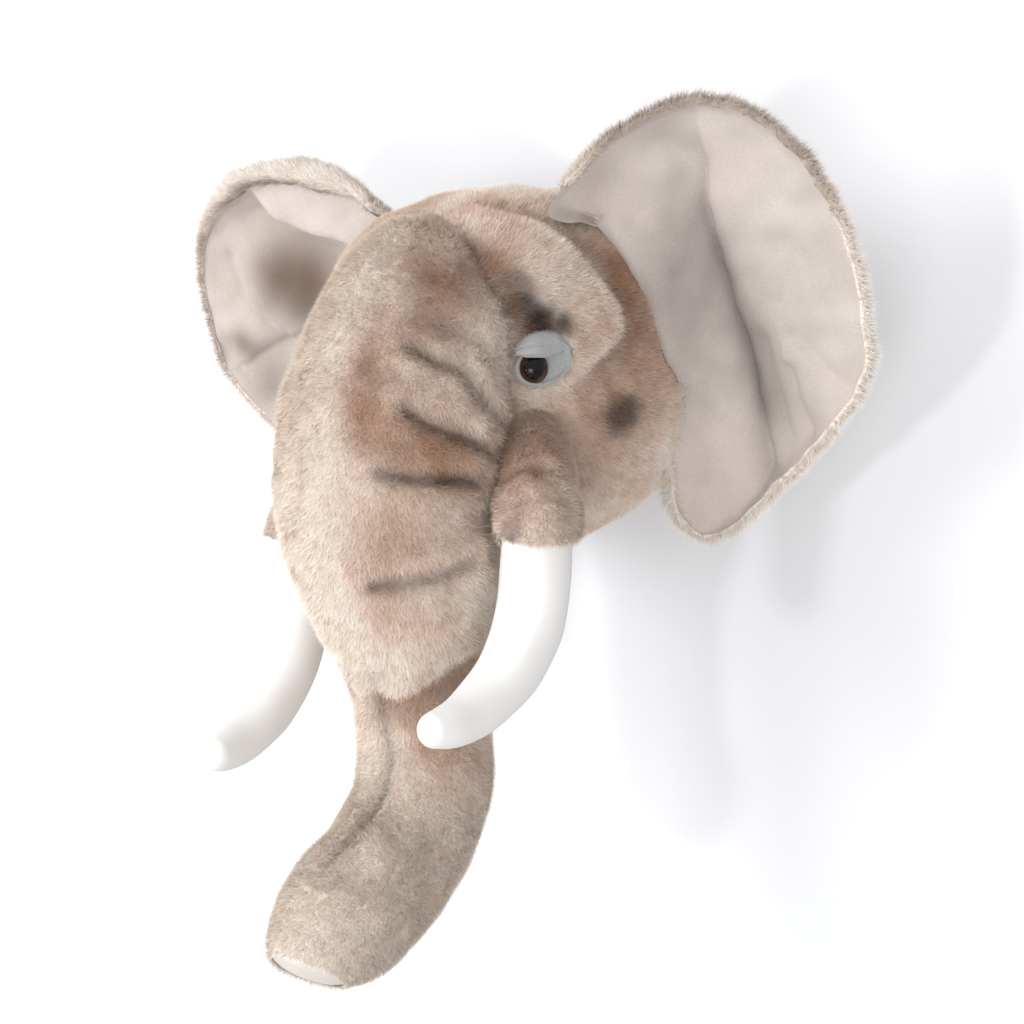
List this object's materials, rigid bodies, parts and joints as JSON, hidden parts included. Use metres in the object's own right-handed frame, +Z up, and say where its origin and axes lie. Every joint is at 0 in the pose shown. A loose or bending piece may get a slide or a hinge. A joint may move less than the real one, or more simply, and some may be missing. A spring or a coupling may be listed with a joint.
{
  "type": "stuffed elephant head",
  "caption": "Plush elephant head for a wall, stuffed over an oval back board, with soft fan ears, a curled trunk and white padded tusks that bend at their sewn roots.",
  "frame": {"origin": "on the wall plane, at the middle of the felt-covered back", "axes": "+Y into the wall, -Y out of the wall towards the viewer, +X the elephant's left, +Z up"},
  "size_m": [0.436, 0.3217, 0.4469],
  "materials": {
    "fawn_plush": "short combed polyester pile, fawn with brown patches and grey airbrushed marks",
    "polyester_filling": "loose white polyester fibre",
    "taupe_suede": "brushed suede cloth",
    "white_velour": "short white velour",
    "grey_felt": "pressed grey felt",
    "brown_felt": "pressed brown felt",
    "pale_suede": "brushed pale suede cloth",
    "brown_eye_plastic": "clear domed plastic, brown iris and black pupil behind",
    "white_plastic": "moulded white plastic",
    "fibreboard": "plain fibreboard",
    "zinc_plated_steel": "zinc plated"
  },
  "bodies": {
    "head": {"back_felt": "brown_felt", "back_board": "fibreboard", "sawtooth_hanger": "zinc_plated_steel", "hanger_nail_left": "zinc_plated_steel", "hanger_nail_right": "zinc_plated_steel", "head_skin": "fawn_plush", "face_skin": "fawn_plush", "head_filling": "polyester_filling", "tusk_sleeve_left": "fawn_plush", "tusk_sleeve_right": "fawn_plush", "eye_left": "brown_eye_plastic", "eye_right": "brown_eye_plastic", "eye_washer_left": "white_plastic", "eye_washer_right": "white_plastic", "eyelid_left": "grey_felt", "eyelid_right": "grey_felt", "brow_left": "fawn_plush", "brow_right": "fawn_plush"},
    "trunk": {"trunk_skin": "fawn_plush", "trunk_filling": "polyester_filling", "trunk_tip_pad": "pale_suede"},
    "left_tusk": {"tusk_skin_left": "white_velour", "tusk_filling_left": "polyester_filling"},
    "right_tusk": {"tusk_skin_right": "white_velour", "tusk_filling_right": "polyester_filling"},
    "left_ear": {"ear_hem_left": "fawn_plush", "ear_back_left": "fawn_plush", "ear_wadding_left": "polyester_filling", "ear_lining_left": "taupe_suede"},
    "right_ear": {"ear_hem_right": "fawn_plush", "ear_back_right": "fawn_plush", "ear_wadding_right": "polyester_filling", "ear_lining_right": "taupe_suede"}
  },
  "joints": [
    {"name": "trunk_bend", "type": "hinge", "parent": "head", "child": "trunk", "pos_m": [0, -0.227, -0.158], "axis": [1, 0, 0], "range_deg": [-20, 20], "stiffness_Nm_per_rad": 1},
    {"name": "left_ear_fold", "type": "hinge", "parent": "head", "child": "left_ear", "pos_m": [0.09735, -0.12983, 0.02051], "axis": [0.3623, 0.3188, -0.8758], "range_deg": [-20, 25], "stiffness_Nm_per_rad": 0.6},
    {"name": "right_ear_fold", "type": "hinge", "parent": "head", "child": "right_ear", "pos_m": [-0.09735, -0.12983, 0.02051], "axis": [0.3623, -0.3188, 0.8758], "range_deg": [-20, 25], "stiffness_Nm_per_rad": 0.6},
    {"name": "left_tusk_rock", "type": "hinge", "parent": "head", "child": "left_tusk", "pos_m": [0.083, -0.229, -0.098], "axis": [1, 0, 0], "range_deg": [-8, 8], "stiffness_Nm_per_rad": 0.4},
    {"name": "right_tusk_rock", "type": "hinge", "parent": "head", "child": "right_tusk", "pos_m": [-0.071, -0.217, -0.108], "axis": [1, 0, 0], "range_deg": [-8, 8], "stiffness_Nm_per_rad": 0.4}
  ]
}
